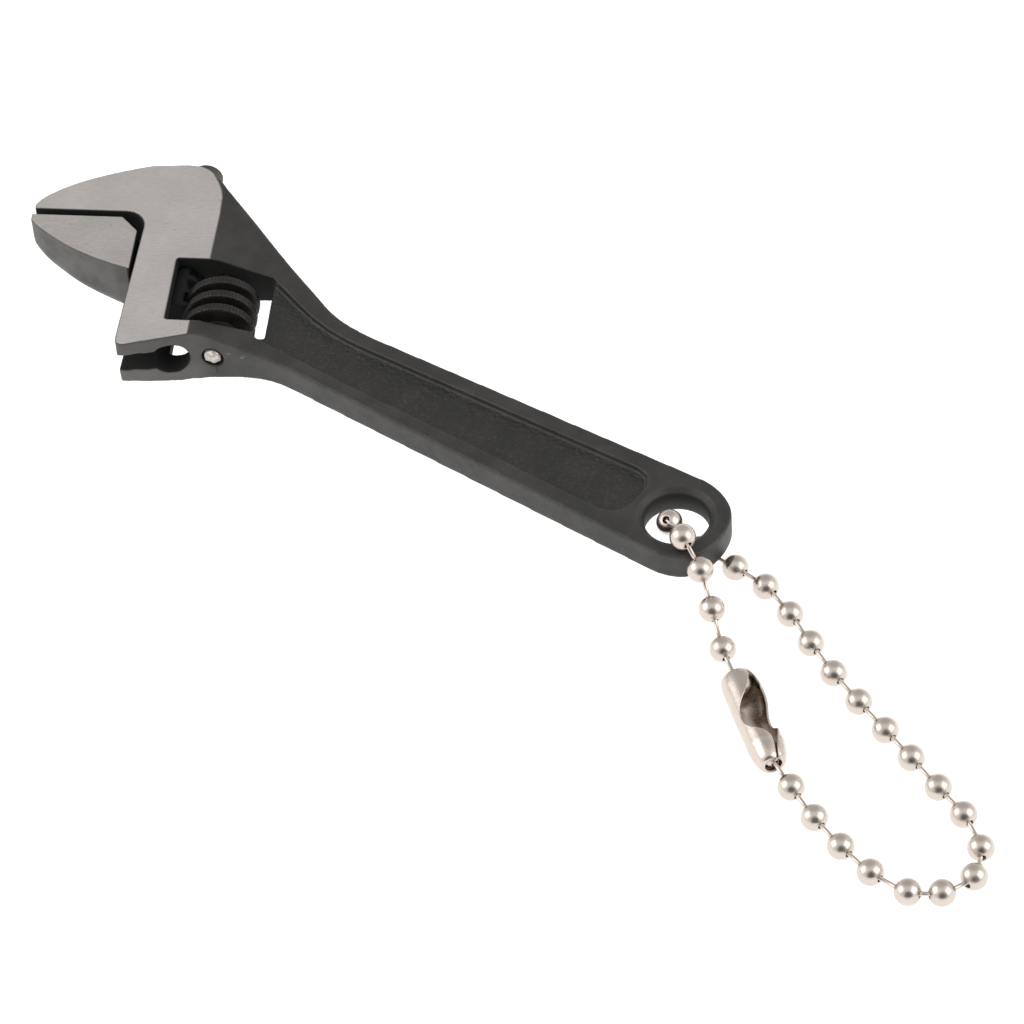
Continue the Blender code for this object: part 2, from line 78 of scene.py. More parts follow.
BEAD_R = 1.0
BEAD_WALL = 0.13
BEAD_HOLE_R = 0.28
LINK_R = 0.17
LINK_END = 0.42                    # from a bead's centre to its link's end
CLASP_R = 1.39
CLASP_WALL = 0.17
CLASP_PAST = (0.46, 1.15)          # the clasp's reach past its two beads' centres

# Bead centres in the handle frame, from the clasp round the loop, in through
# the hang hole from below, over the near rim and back to the clasp.
ROUTE = [
    (16.64, -14.10, 1.42), (19.48, -15.58, 1.00), (22.38, -17.07, 1.00), (25.36, -18.30, 1.00),
    (28.36, -19.17, 1.00), (31.50, -19.28, 1.00), (33.58, -18.06, 1.00), (34.73, -15.60, 1.00),
    (33.80, -13.11, 1.00), (31.20, -11.15, 1.00), (28.38, -9.96, 1.00), (25.32, -8.64, 1.00),
    (22.38, -7.40, 1.00), (19.33, -6.12, 1.00), (16.32, -4.76, 1.00), (13.37, -3.18, 1.00),
    (10.54, -1.56, 1.00), (7.53, -0.21, 1.00), (4.58, 0.20, 1.00), (1.30, 0.40, 1.00),
    (-0.79, -0.50, 3.55), (1.68, -2.42, 5.13), (3.80, -3.34, 3.62), (5.86, -4.98, 2.00),
    (8.18, -7.12, 1.00), (11.09, -9.59, 1.42),
]
HANG_HOLE = (-0.5, 0.05, MID_Z)
HANG_HOLE_R = 2.45


# ---------------------------------------------------------------- frames

def handle_point(x, y, z=0.0):
    """A point of the handle frame in the row frame, in metres."""
    return Vector((x + HANDLE_ORIGIN[0], y + HANDLE_ORIGIN[1], z)) * MM


def jaw_matrix():
    """The jaw frame's u, v and Z axes, with its origin on the floor."""
    return Matrix.Translation(handle_point(*JAW_ORIGIN)) @ Matrix.Rotation(JAW_ANGLE, 4, "Z")


def along_v(u):
    """A frame whose Z runs along v through (u, 0) at the middle plane."""
    place = Matrix.Translation(Vector((u, 0.0, MID_Z)) * MM)
    return jaw_matrix() @ place @ Matrix.Rotation(math.radians(-90.0), 4, "X")


def jaw_place(u, v, z):
    """A point of the jaw frame in the row frame, in millimetres."""
    return tuple(jaw_matrix() @ (Vector((u, v, z)) * MM) / MM)


def in_jaw_frame(points):
    """Row frame points, in millimetres, as arrays of u and v."""
    x = points[:, 0] - HANDLE_ORIGIN[0] - JAW_ORIGIN[0]
    y = points[:, 1] - HANDLE_ORIGIN[1] - JAW_ORIGIN[1]
    c, s = math.cos(JAW_ANGLE), math.sin(JAW_ANGLE)
    return x * c + y * s, y * c - x * s


# ---------------------------------------------------------------- camera and cord

def look_from(camera, position, target, roll_deg):
    """Aim an object's -Z at the target, then roll it about its own axis."""
    camera.location = position
    aim = (target - position).to_track_quat("-Z", "Y").to_matrix().to_4x4()
    turned = Matrix.Translation(position) @ aim @ Matrix.Rotation(math.radians(roll_deg), 4, "Z")
    camera.matrix_world = turned


CAMERA_PLACE = (166.277, -201.421, 265.200)
CAMERA_TARGET = (15.984, -5.555, 0.45)
CAMERA_ROLL = -4.0
CAMERA_LENS = 167.2
CAMERA_SENSOR = 36.0


def make_camera():
    """A long lens that looks down on the object at about 47 degrees."""
    data = bpy.data.cameras.new("camera")
    data.lens = CAMERA_LENS
    data.sensor_width = CAMERA_SENSOR
    data.clip_start = 0.01
    data.clip_end = 10.0
    camera = bpy.data.objects.new("camera", data)
    bpy.context.scene.collection.objects.link(camera)
    look_from(camera, Vector(CAMERA_PLACE) * MM, Vector(CAMERA_TARGET) * MM, CAMERA_ROLL)
    bpy.context.scene.camera = camera


# ---------------------------------------------------------------- mesh tools

def add_piece(name, mesh, material, body, replaced):
    """A finished piece that rides on a CAD body and stands for its CAD nodes."""
    piece = bpy.data.objects.new(name, mesh)
    bpy.context.scene.collection.objects.link(piece)
    mesh.materials.clear()
    for each in material if isinstance(material, list) else [material]:
        mesh.materials.append(each)
    mesh.shade_smooth()
    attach(piece, body)
    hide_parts(*replaced)
    return piece


def even_mesh(node, voxel, turn=0.0):
    """A CAD node's shape as an even mesh of small quads, in millimetres."""
    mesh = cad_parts[node].data.copy()
    level = Matrix.Rotation(-turn, 4, "Z")
    mesh.transform(level @ Matrix.Scale(1 / MM, 4))
    work = bmesh.new()
    work.from_mesh(mesh)
    bmesh.ops.remove_doubles(work, verts=work.verts, dist=1e-4)
    work.to_mesh(mesh)
    work.free()
    guide = bpy.data.objects.new("guide", mesh)
    bpy.context.scene.collection.objects.link(guide)
    modifier = guide.modifiers.new("even", "REMESH")
    modifier.mode = "VOXEL"
    modifier.voxel_size = voxel
    graph = bpy.context.evaluated_depsgraph_get()
    result = bpy.data.meshes.new_from_object(guide.evaluated_get(graph))
    bpy.data.objects.remove(guide, do_unlink=True)
    result.transform(level.inverted())
    return result


def points_of(mesh):
    flat = np.empty(len(mesh.vertices) * 3)
    mesh.vertices.foreach_get("co", flat)
    return flat.reshape(-1, 3)


def set_points(mesh, points):
    mesh.vertices.foreach_set("co", points.ravel())
    mesh.update()


def normals_of(mesh):
    flat = np.empty(len(mesh.vertices) * 3)
    mesh.vertex_normals.foreach_get("vector", flat)
    return flat.reshape(-1, 3)


def edges_of(mesh):
    flat = np.empty(len(mesh.edges) * 2, dtype=np.int64)
    mesh.edges.foreach_get("vertices", flat)
    return flat.reshape(-1, 2)


def neighbour_mean(points, edges):
    count = len(points)
    degree = np.maximum(np.bincount(edges.ravel(), minlength=count), 1)
    mean = np.empty_like(points)
    for axis in range(3):
        value = points[:, axis]
        total = np.bincount(edges[:, 0], value[edges[:, 1]], count)
        total += np.bincount(edges[:, 1], value[edges[:, 0]], count)
        mean[:, axis] = total / degree
    return mean


def relax(points, edges, passes, steps, weight=None):
    """Move points towards their neighbours; steps (0.5, -0.53) smooth without shrinking."""
    share = 1.0 if weight is None else weight[:, None]
    for _ in range(passes):
        for step in steps:
            points = points + step * share * (neighbour_mean(points, edges) - points)
    return points


def noise_at(points, size, seed):
    """Smooth noise from about -1 to 1, with features of the given size in millimetres."""
    shift = Vector((seed * 17.3, seed * 5.1, seed * 9.7))
    return np.array([noise.noise(Vector(p) / size + shift) for p in points])


def blend_in(value, low, high):
    t = np.clip((value - low) / (high - low), 0.0, 1.0)
    return t * t * (3.0 - 2.0 * t)


def store(mesh, name, values):
    layer = mesh.attributes.new(name, "FLOAT", "POINT")
    layer.data.foreach_set("value", values.astype(np.float32))


def convexity(points, normals, edges, spread):
    """How far each point stands out from its neighbourhood, in millimetres."""
    mean = points
    for _ in range(spread):
        mean = neighbour_mean(mean, edges)
    return np.einsum("ij,ij->i", points - mean, normals)


def grid_mesh(name, rows, closed_rows=False, closed_columns=False):
    """Quads over rows of points, in metres; every row has the same number of points."""
    count = len(rows[0])
    mesh = bpy.data.meshes.new(name)
    verts = [tuple(p) for row in rows for p in row]
    faces = []
    last_row = len(rows) if closed_rows else len(rows) - 1
    last_column = count if closed_columns else count - 1
    for i in range(last_row):
        j = (i + 1) % len(rows)
        for k in range(last_column):
            m = (k + 1) % count
            faces.append((i * count + k, i * count + m, j * count + m, j * count + k))
    mesh.from_pydata(verts, [], faces)
    mesh.update()
    return mesh


def turned(work, profile, steps, place):
    """Add a closed profile of (radius, z), in millimetres, turned about Z, to a bmesh."""
    rings = []
    for k in range(steps):
        angle = 2 * math.pi * k / steps
        c, s = math.cos(angle), math.sin(angle)
        rings.append([work.verts.new(place @ (Vector((r * c, r * s, z)) * MM)) for r, z in profile])
    for k in range(steps):
        here, there = rings[k], rings[(k + 1) % steps]
        for i in range(len(profile)):
            j = (i + 1) % len(profile)
            work.faces.new((here[i], here[j], there[j], there[i]))


def to_mesh(name, work):
    bmesh.ops.recalc_face_normals(work, faces=work.faces)
    mesh = bpy.data.meshes.new(name)
    work.to_mesh(mesh)
    work.free()
    return mesh


# ---------------------------------------------------------------- materials

class Nodes:
    """A short way to write a material's node tree."""

    def __init__(self, name):
        self.material = bpy.data.materials.new(name)
        self.material.use_nodes = True
        self.tree = self.material.node_tree
        self.shader = self.tree.nodes["Principled BSDF"]
        coordinates = self.tree.nodes.new("ShaderNodeTexCoord")
        scale = self.tree.nodes.new("ShaderNodeVectorMath")
        scale.operation = "SCALE"
        scale.inputs["Scale"].default_value = 1 / MM
        self.link(coordinates.outputs["Object"], scale.inputs[0])
        self.place = scale.outputs[0]      # the object's own coordinates, in millimetres

    def link(self, source, target):
        self.tree.links.new(source, target)

    def put(self, value, socket):
        """Link an output, or set a plain value."""
        if isinstance(value, bpy.types.NodeSocket):
            self.link(value, socket)
        else:
            socket.default_value = value

    def stretch(self, scale, turn_deg=0.0, centre=(0.0, 0.0, 0.0)):
        """Coordinates from a centre, turned about Z and drawn out by the scale."""
        node = self.tree.nodes.new("ShaderNodeMapping")
        node.vector_type = "TEXTURE"
        node.inputs["Location"].default_value = centre
        node.inputs["Scale"].default_value = scale
        node.inputs["Rotation"].default_value = (0.0, 0.0, math.radians(turn_deg))
        self.link(self.place, node.inputs["Vector"])
        return node.outputs["Vector"]

    def distance(self, place):
        node = self.tree.nodes.new("ShaderNodeVectorMath")
        node.operation = "LENGTH"
        self.link(place, node.inputs[0])
        return node.outputs["Value"]

    def noise(self, size, detail=3.0, rough=0.55, place=None):
        node = self.tree.nodes.new("ShaderNodeTexNoise")
        node.inputs["Scale"].default_value = 1.0 / size
        node.inputs["Detail"].default_value = detail
        node.inputs["Roughness"].default_value = rough
        self.link(place or self.place, node.inputs["Vector"])
        return node.outputs["Fac"]

    def cells(self, size, feature="F1"):
        node = self.tree.nodes.new("ShaderNodeTexVoronoi")
        node.feature = feature
        node.inputs["Scale"].default_value = 1.0 / size
        self.link(self.place, node.inputs["Vector"])
        return node.outputs["Distance"]

    def span(self, value, low, high, out_low=0.0, out_high=1.0):
        node = self.tree.nodes.new("ShaderNodeMapRange")
        self.put(value, node.inputs["Value"])
        node.inputs["From Min"].default_value = low
        node.inputs["From Max"].default_value = high
        node.inputs["To Min"].default_value = out_low
        node.inputs["To Max"].default_value = out_high
        return node.outputs["Result"]

    def math(self, operation, a, b=0.0):
        node = self.tree.nodes.new("ShaderNodeMath")
        node.operation = operation
        self.put(a, node.inputs[0])
        self.put(b, node.inputs[1])
        return node.outputs[0]

    def attribute(self, name):
        node = self.tree.nodes.new("ShaderNodeAttribute")
        node.attribute_name = name
        return node.outputs["Fac"]

    def mix(self, share, a, b):
        """A colour between a and b."""
        node = self.tree.nodes.new("ShaderNodeMix")
        node.data_type = "RGBA"
        self.put(share, node.inputs["Factor"])
        for value, socket in ((a, node.inputs["A"]), (b, node.inputs["B"])):
            self.put((*value, 1.0) if isinstance(value, tuple) else value, socket)
        return node.outputs["Result"]

    def blend(self, share, a, b):
        """A number between a and b."""
        node = self.tree.nodes.new("ShaderNodeMix")
        self.put(share, node.inputs["Factor"])
        self.put(a, node.inputs["A"])
        self.put(b, node.inputs["B"])
        return node.outputs["Result"]

    def bump(self, height, distance, strength=1.0, normal=None):
        """Relief from a height of 0 to 1, its distance in millimetres."""
        node = self.tree.nodes.new("ShaderNodeBump")
        node.inputs["Distance"].default_value = distance * MM
        node.inputs["Strength"].default_value = strength
        self.link(height, node.inputs["Height"])
        if normal is not None:
            self.link(normal, node.inputs["Normal"])
        return node.outputs["Normal"]

    def finish(self, colour=None, rough=None, metal=None, normal=None):
        inputs = self.shader.inputs
        for value, name in ((colour, "Base Color"), (rough, "Roughness"), (metal, "Metallic")):
            if value is not None:
                self.put((*value, 1.0) if isinstance(value, tuple) else value, inputs[name])
        if normal is not None:
            self.link(normal, inputs["Normal"])
        return self.material


BODY_GROUND = ((0.575, 0.55, 0.535), (0.735, 0.705, 0.69))
JAW_GROUND = ((0.515, 0.49, 0.475), (0.66, 0.63, 0.615))
OXIDE = (0.019, 0.0185, 0.0175)
OXIDE_LIGHT = (0.034, 0.0325, 0.0305)
JAW_DULL = (0.047, 0.045, 0.042)
JAW_DULL_LIGHT = (0.096, 0.092, 0.086)
# Near black: painted shade in recesses, holes and gaps, and the real dark of the crack and the panel's
# grain.
BLACK_AND_SHADE = (0.0045, 0.0042, 0.004)
# Pale grey for real grit, and for edge wear with a painted edge highlight.
WORN_AND_SHEEN = (0.15, 0.143, 0.135)
# Painted light: the head's near face is painted paler, as if lit from the front and by the floor.
NEAR_FACE_LIGHT = (0.085, 0.080, 0.074)   # the head's near face, paler than the rest
PIT = (0.10, 0.09, 0.082)
SCRATCHED = (0.4, 0.385, 0.36)
STREAK_DEG = 37.0                  # the ground faces' faint streaks, from +X
DULL_ROUGH = (0.45, 0.57)
DEEP_ROUGH = 0.85
GROUND_ROUGH = (0.5, 0.4)          # between the speckles, and on them
CRACK_PLACE = (WORM_U + 0.25, -13.6, MID_Z - 1.25)      # in the jaw frame
SCUFF_PLACE = (5.2, -13.3, MID_Z + 0.7)


def steel_material(name, ground_colours, dull_colour, dull_light):
    """Forged steel: dull where it was left black, bright where the attribute "ground" is 1."""
    n = Nodes(name)
    ground = n.attribute("ground")
    # Painted shade: 1 on recess walls, holes and gaps, which are darkened towards near black.
    painted_recess_shade = n.attribute("painted_recess_shade")
    panel = n.attribute("panel")

    # Ground faces: a fine speckle, short faint streaks and a few tiny pits.
    speckle = n.noise(0.10, 3.0, 0.7)
    streaks = n.noise(0.15, 3.0, 0.6, n.stretch((5.0, 1.0, 1.0), STREAK_DEG))
    marks = n.math("ADD", n.math("MULTIPLY", speckle, 0.6), n.math("MULTIPLY", streaks, 0.4))
    marks = n.span(marks, 0.37, 0.61)
    bright = n.mix(marks, *ground_colours)
    bright = n.mix(n.span(n.noise(3.2, 3.0, 0.5), 0.35, 0.7, 0.0, 0.10), bright, PIT)
    pits = n.math("MULTIPLY", n.span(n.cells(0.55), 0.05, 0.11, 1.0, 0.0),
                  n.span(n.noise(0.9, 2.0), 0.48, 0.56))
    bright = n.mix(n.math("MULTIPLY", pits, 0.75), bright, PIT)

    # Black oxide: soft patches, rubbed edges with a painted highlight, and light grit; a painted lighter
    # near face and painted shade in recesses.
    rubbed = n.span(n.noise(0.35, 4.0, 0.7), 0.3, 0.75, -0.35, 0.35)
    wear_and_sheen = n.span(n.math("ADD", n.attribute("wear_and_sheen"), rubbed), 0.45, 1.2)
    dull = n.mix(n.span(n.noise(2.4, 3.0, 0.5), 0.38, 0.66), dull_colour, dull_light)
    dull = n.mix(n.span(n.noise(0.22, 3.0, 0.65), 0.5, 0.8, 0.0, 0.5), dull, dull_light)
    # Painted light on the near face.
    dull = n.mix(n.attribute("painted_near_light"), dull, NEAR_FACE_LIGHT)
    grit = n.math("MULTIPLY", n.span(n.noise(0.2, 2.0, 0.5), 0.72, 0.78), 0.5)
    dull = n.mix(grit, dull, WORN_AND_SHEEN)
    leather = n.span(n.cells(0.34, "SMOOTH_F1"), 0.05, 0.42)
    dull = n.mix(n.math("MULTIPLY", panel, n.span(leather, 0.0, 1.0, 0.0, 0.55)), dull, BLACK_AND_SHADE)
    # Edge wear with a painted highlight on the edges.
    dull = n.mix(n.math("MULTIPLY", wear_and_sheen, 0.6), dull, WORN_AND_SHEEN)
    # Painted shade in recesses, holes and gaps.
    dull = n.mix(painted_recess_shade, dull, BLACK_AND_SHADE)

    colour = n.mix(ground, dull, bright)
    rough_dull = n.span(n.noise(0.9, 3.0, 0.6), 0.3, 0.7, *DULL_ROUGH)
    rough_dull = n.blend(painted_recess_shade, rough_dull, DEEP_ROUGH)
    rough = n.blend(ground, rough_dull, n.span(marks, 0.0, 1.0, *GROUND_ROUGH))
    metal = n.blend(ground, n.math("MULTIPLY", wear_and_sheen, n.span(painted_recess_shade, 0.0, 1.0, 0.5, 0.0)), 0.96)
    relief = n.blend(ground, n.noise(0.2, 4.0, 0.6), n.math("MULTIPLY", marks, 0.22))
    normal = n.bump(relief, 0.022, 0.6)
    normal = n.bump(n.math("MULTIPLY", panel, n.span(leather, 0.0, 1.0, 1.0, 0.0)), 0.06, 0.8, normal)
    return n, colour, rough, metal, normal


def body_material():
    """The forging's steel, with a hairline crack below the pin and scuffs beside it."""
    n, colour, rough, metal, normal = steel_material("steel_black_oxide", BODY_GROUND, OXIDE, OXIDE_LIGHT)
    turn = math.degrees(JAW_ANGLE)
    crack = n.distance(n.stretch((0.07, 1.5, 0.6), turn, jaw_place(*CRACK_PLACE)))
    colour = n.mix(n.span(crack, 0.8, 1.0, 1.0, 0.0), colour, BLACK_AND_SHADE)
    beside = n.distance(n.stretch((1.1, 1.5, 0.35), turn, jaw_place(*SCUFF_PLACE)))
    scuffs = n.noise(0.16, 1.0, 0.4, n.stretch((6.0, 6.0, 1.0), turn))
    scuffs = n.math("MULTIPLY", n.span(scuffs, 0.60, 0.66), n.span(beside, 0.6, 1.0, 0.85, 0.0))
    colour = n.mix(scuffs, colour, SCRATCHED)
    return n.finish(colour, rough, metal, normal)


def jaw_material():
    n, colour, rough, metal, normal = steel_material("steel_ground", JAW_GROUND, JAW_DULL, JAW_DULL_LIGHT)
    return n.finish(colour, rough, metal, normal)


def worm_material():
    n = Nodes("worm_black_oiled")
    n.shader.inputs["Specular IOR Level"].default_value = 0.35
    oiled = n.span(n.noise(0.7, 4.0, 0.6), 0.35, 0.7)
    colour = n.mix(oiled, (0.0045, 0.004, 0.0037), (0.012, 0.0105, 0.009))
    rubbed = n.span(n.noise(0.3, 3.0, 0.6), 0.3, 0.7, -0.4, 0.2)
    wear_and_sheen = n.span(n.math("ADD", n.attribute("wear_and_sheen"), rubbed), 0.35, 1.0)
    # Crest edge wear with a painted highlight.
    colour = n.mix(n.math("MULTIPLY", wear_and_sheen, 0.5), colour, (0.11, 0.10, 0.092))
    rough = n.span(n.noise(0.5, 3.0, 0.6), 0.3, 0.7, 0.42, 0.62)
    normal = n.bump(n.noise(0.16, 3.0, 0.6), 0.02, 0.5)
    return n.finish(colour, rough, n.math("MULTIPLY", wear_and_sheen, 0.4), normal)


def pin_material():
    """Bare steel, patchy where it was peened."""
    n = Nodes("pin_bare_steel")
    colour = n.mix(n.span(n.noise(0.3, 4.0, 0.6), 0.35, 0.7), (0.32, 0.30, 0.27), (0.68, 0.66, 0.62))
    rough = n.span(n.noise(0.25, 3.0, 0.6), 0.3, 0.7, 0.3, 0.5)
    return n.finish(colour, rough, 1.0, n.bump(n.noise(0.2, 4.0, 0.6), 0.05, 0.8))


def nickel_material(name, base, dark, rough_low, rough_high):
    n = Nodes(name)
    colour = n.mix(n.span(n.noise(0.9, 3.0, 0.55), 0.4, 0.75, 0.0, 0.35), base, dark)
    rough = n.span(n.noise(0.5, 3.0, 0.6), 0.3, 0.7, rough_low, rough_high)
    normal = n.bump(n.noise(0.35, 3.0, 0.5), 0.02, 0.5)
    return n.finish(colour, rough, 1.0, normal)


# ---------------------------------------------------------------- wrench body

def inside(value, low, high, soft=0.04):
    """1 between low and high, easing to 0 outside them."""
    return blend_in(value, low - soft, low + soft) * (1.0 - blend_in(value, high - soft, high + soft))


def jaw_gap_shade(u, v, wall):
    """Painted shade on the walls of the gap between the jaws and of the gap beside the head."""
    between = inside(v, -0.75, 0.12) * (1.0 - blend_in(u, -4.2, -4.0))
    corner = inside(u, -5.9, -3.75) * inside(v, -1.9, 0.12)
    beside = inside(u, -4.55, -3.7) * blend_in(v, -10.5, -5.5) * (1.0 - blend_in(v, -0.54, -0.46))
    return np.maximum(np.maximum(between, corner), beside) * wall


def make_body(material):
    """The forging: soft cast edges on the handle, crisp ground faces on the head."""
    mesh = even_mesh("wrench_body", BODY_VOXEL)
    edges = edges_of(mesh)
    points = relax(points_of(mesh), edges, 9, (0.5, -0.53))
    u, v = in_jaw_frame(points)
    cast = blend_in(u, HEAD_BACK_U - 0.2, HEAD_BACK_U + 1.5)
    points = relax(points, edges, 3, (0.5,))
    points = relax(points, edges, 14, (0.5,), cast)
    set_points(mesh, points)
    normals = normals_of(mesh)
    height = np.abs(points[:, 2] - MID_Z)
    level = np.abs(normals[:, 2])
    flat = blend_in(level, 0.93, 0.98)
    wall = 1.0 - blend_in(level, 0.55, 0.8)
    ground = flat * blend_in(height, HEAD_HALF - 0.05, HEAD_HALF - 0.03)
    back = np.interp(v, [place for place, _ in GROUND_BACK], [edge for _, edge in GROUND_BACK])
    ground *= 1.0 - blend_in(u, back - 0.05, back + 0.05)
    panel = flat * (1.0 - blend_in(height, PANEL_HALF + 0.10, PANEL_HALF + 0.2)) * blend_in(u, 6.4, 7.0)

    # Painted shade on the walls of the window, bore, slot, pin hole, jaw gaps and hang hole.
    window = inside(u, -0.95, 7.2) * inside(v, -12.1, -4.95) * wall
    bore = 1.0 - blend_in(np.hypot(u - RACK_U, height), BORE_R + 0.04, BORE_R + 0.12)
    slot = (1.0 - blend_in(u, -0.4, -0.2)) * (1.0 - blend_in(height, 0.98, 1.06))
    slot *= 1.0 - blend_in(v, -0.9, -0.7)
    pin_hole = 1.0 - blend_in(np.hypot(u - WORM_U, height), 0.86, 0.92)
    pin_hole *= 1.0 - blend_in(v, PIN_V[1] + 0.05, PIN_V[1] + 0.15)
    hang = np.hypot(points[:, 0] - HANDLE_ORIGIN[0] - HANG_HOLE[0],
                    points[:, 1] - HANDLE_ORIGIN[1] - HANG_HOLE[1])
    hang_wall = wall * (1.0 - blend_in(hang, HANG_HOLE_R + 0.08, HANG_HOLE_R + 0.23))
    # Painted shade in the hang hole, darker towards the top of its wall.
    hang_wall *= 0.25 + 0.65 * blend_in(points[:, 2], MID_Z - 0.7, MID_Z + 0.5)
    painted_recess_shade = np.maximum.reduce([window, bore, slot, pin_hole, jaw_gap_shade(u, v, wall), hang_wall])
    # Painted light on the head's near face, lighter towards the bottom.
    painted_near_light = wall * (1.0 - blend_in(u, 1.5, 3.5)) * (1.0 - blend_in(v, -12.2, -11.4)) * (1.0 - pin_hole)
    painted_near_light *= 1.0 - 0.55 * blend_in(points[:, 2], MID_Z - 1.6, MID_Z + 0.2)
    dull = 1.0 - ground
    lift = 0.010 * noise_at(points, 1.6, 1) * dull
    lift += 0.006 * noise_at(points, 0.5, 2) * dull
    grain = noise_at(points, 0.40, 3) + 0.6 * noise_at(points, 0.22, 4)
    lift += 0.055 * grain * panel
    points = points + normals * lift[:, None]
    set_points(mesh, points)
    store(mesh, "ground", ground * (1.0 - painted_recess_shade))
    store(mesh, "panel", panel)
    store(mesh, "painted_near_light", painted_near_light)
    store(mesh, "painted_recess_shade", painted_recess_shade)
    # Edges that stand out get wear and a painted highlight.
    stands_out = convexity(points, normals_of(mesh), edges, 8)
    store(mesh, "wear_and_sheen", np.clip(stands_out / 0.07, 0.0, 1.0))
    mesh.transform(Matrix.Scale(MM, 4))
    return add_piece("body_forging", mesh, material, "body", ["wrench_body"])


# ---------------------------------------------------------------- movable jaw

def make_jaw(material):
    mesh = even_mesh("movable_jaw", JAW_VOXEL, JAW_ANGLE)
    edges = edges_of(mesh)
    points = relax(points_of(mesh), edges, 8, (0.5, -0.53))
    points = relax(points, edges, 3, (0.5,))
    low = 1.0 - blend_in(points[:, 2], MID_Z + 1.6, MID_Z + 2.2)
    u, v = in_jaw_frame(points)
    plate = 1.0 - blend_in(u, -4.4, -4.2)
    points = relax(points, edges, 10, (0.5,), low * plate)
    corner = low * inside(u, -5.0, -4.0, 0.3) * (1.0 - blend_in(v, -6.0, -5.0))
    points = relax(points, edges, 24, (0.5,), corner)
    set_points(mesh, points)
    normals = normals_of(mesh)
    height = np.abs(points[:, 2] - MID_Z)
    level = np.abs(normals[:, 2])
    ground = blend_in(level, 0.93, 0.98) * blend_in(height, JAW_HALF - 0.06, JAW_HALF - 0.04)
    # Painted shade on the rod, which lies inside the head, and on the jaw gap walls.
    rod = blend_in(u, -4.3, -4.1) * (1.0 - 0.6 * blend_in(v, 5.3, 5.6))
    painted_recess_shade = np.maximum(rod, jaw_gap_shade(u, v, 1.0 - blend_in(level, 0.55, 0.8)))
    lift = (0.012 * noise_at(points, 1.2, 5) + 0.006 * noise_at(points, 0.4, 6)) * (1.0 - ground)
    points = points + normals * lift[:, None]
    set_points(mesh, points)
    store(mesh, "ground", ground * (1.0 - painted_recess_shade))
    store(mesh, "painted_recess_shade", painted_recess_shade)
    store(mesh, "panel", np.zeros(len(points)))
    store(mesh, "painted_near_light", np.zeros(len(points)))
    # Edges that stand out get wear and a painted highlight.
    store(mesh, "wear_and_sheen", np.clip(convexity(points, normals_of(mesh), edges, 8) / 0.07, 0.0, 1.0))
    mesh.transform(Matrix.Scale(MM, 4))
    return add_piece("jaw_forging", mesh, material, "jaw", ["movable_jaw"])


# ---------------------------------------------------------------- worm and pin

def thread_turn(angle, v):
    """How far a point is from the nearest crest, in turns; angles start at the rack's side."""
    turn = (v - WORM_MESH_V) / WORM_PITCH - angle / (2 * math.pi)
    return abs(turn - round(turn))


def thread_height(off):
    """The thread's section, from 0 at the root to 1 on the flat crest."""
    t = min(max((0.33 - off) / 0.13, 0.0), 1.0)
    return t * t * (3.0 - 2.0 * t)


def worm_radius(angle, v):
    """The worm's radius at an angle from the rack's side and a place along v."""
    height = thread_height(thread_turn(angle, v))
    notch = 0.5 - 0.5 * math.cos(angle * WORM_NOTCHES)
    notch = 0.045 * notch ** 2 * height
    end = min(v - WORM_THREAD_V[0], WORM_THREAD_V[1] - v)
    edge = min(max(end / 0.25, 0.0), 1.0)
    crest = WORM_CREST_R - 0.25 * (1.0 - math.sqrt(1.0 - (1.0 - edge) ** 2))
    return WORM_ROOT_R + (crest - WORM_ROOT_R) * height - notch


def worm_wear_and_sheen(angle, v):
    """Bare metal and a painted highlight show along the crest's two edges."""
    if not WORM_THREAD_V[0] < v < WORM_THREAD_V[1]:
        return 0.0
    return math.exp(-((thread_turn(angle, v) - 0.19) / 0.035) ** 2)


def make_worm(material):
    """A knurled thread, a plain hub and a through bore, as one closed surface."""
    steps = 6 * WORM_NOTCHES
    threads = 120
    low, high = WORM_THREAD_V
    place = along_v(WORM_U)
    directions = [2 * math.pi * k / steps for k in range(steps)]
    rows, wear_and_sheen = [], []

    def ring(radius, v):
        rows.append([place @ (Vector((-radius(a, v) * math.cos(a), -radius(a, v) * math.sin(a), v)) * MM)
                     for a in directions])
        wear_and_sheen.extend(worm_wear_and_sheen(a, v) if radius is worm_radius else 0.0 for a in directions)

    ring(lambda a, v: WORM_BORE_R, low + 0.12)
    ring(lambda a, v: WORM_BORE_R + 0.12, low)
    ring(lambda a, v: WORM_ROOT_R - 0.1, low)
    for i in range(threads + 1):
        ring(worm_radius, low + (high - low) * i / threads)
    ring(lambda a, v: WORM_ROOT_R - 0.05, high + 0.02)
    ring(lambda a, v: WORM_ROOT_R - 0.05, WORM_HUB_V - 0.12)
    ring(lambda a, v: WORM_ROOT_R - 0.16, WORM_HUB_V)
    ring(lambda a, v: WORM_BORE_R + 0.12, WORM_HUB_V)
    ring(lambda a, v: WORM_BORE_R, WORM_HUB_V - 0.12)
    mesh = grid_mesh("worm_knurled", rows, closed_rows=True, closed_columns=True)
    store(mesh, "wear_and_sheen", np.array(wear_and_sheen))
    fix_normals(mesh)
    return add_piece("worm_knurled", mesh, material, "worm", ["worm"])


def fix_normals(mesh):
    work = bmesh.new()
    work.from_mesh(mesh)
    bmesh.ops.recalc_face_normals(work, faces=work.faces)
    work.to_mesh(mesh)
    work.free()


PIN_END_R = 0.73
PIN_END_SHIFT = (0.02, -0.15)      # the peened end sits above the hole's centre


